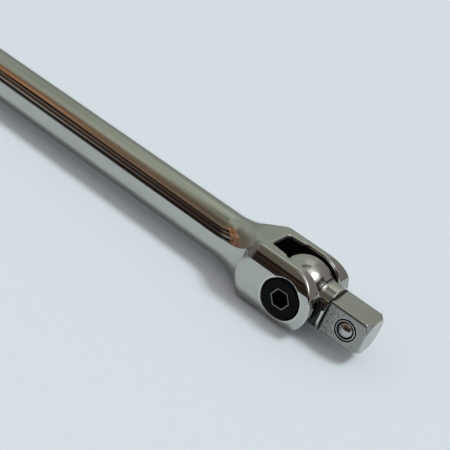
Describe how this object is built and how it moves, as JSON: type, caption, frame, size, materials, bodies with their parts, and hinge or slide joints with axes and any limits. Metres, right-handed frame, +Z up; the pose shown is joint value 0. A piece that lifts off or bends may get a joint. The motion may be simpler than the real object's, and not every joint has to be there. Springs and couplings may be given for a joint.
{
  "type": "breaker bar",
  "caption": "Long round steel handle with a forked end that holds a swivelling square drive head for turning sockets.",
  "frame": {"origin": "centre of the square drive's end face", "axes": "+X along the bar and out of the drive, Y along the swivel axis, +Z up; the head is straight at rest"},
  "size_m": [0.45, 0.0286, 0.024],
  "materials": {
    "chrome": "polished chrome plate",
    "satin_chrome": "chrome plate over a machined surface",
    "black_oxide": "black oxide",
    "hardened_steel": "ground",
    "spring_steel": "drawn wire"
  },
  "bodies": {
    "handle": {"handle_bar": "chrome", "pivot_screw": "black_oxide", "pivot_sleeve_nut": "black_oxide", "lock_washer": "hardened_steel", "tension_spring": "spring_steel"},
    "head": {"drive_head": "satin_chrome", "thrust_washer_near": "hardened_steel", "thrust_washer_far": "hardened_steel", "detent_spring": "spring_steel"},
    "plunger": {"tension_plunger": "hardened_steel"},
    "detent": {"detent_ball": "hardened_steel"}
  },
  "joints": [
    {"name": "head_swivel", "type": "hinge", "parent": "handle", "child": "head", "pos_m": [-0.0303, 0, 0], "axis": [0, -1, 0], "range_deg": [-90, 90]},
    {"name": "plunger_press", "type": "slide", "parent": "handle", "child": "plunger", "axis": [-1, 0, 0], "range_m": [0, 0.001], "stiffness_N_per_m": 3000, "springref_m": -0.004, "deforming": ["tension_spring"]},
    {"name": "detent_press", "type": "slide", "parent": "head", "child": "detent", "axis": [0, 1, 0], "range_m": [0, 0.0014], "stiffness_N_per_m": 800, "springref_m": -0.003, "deforming": ["detent_spring"]}
  ]
}
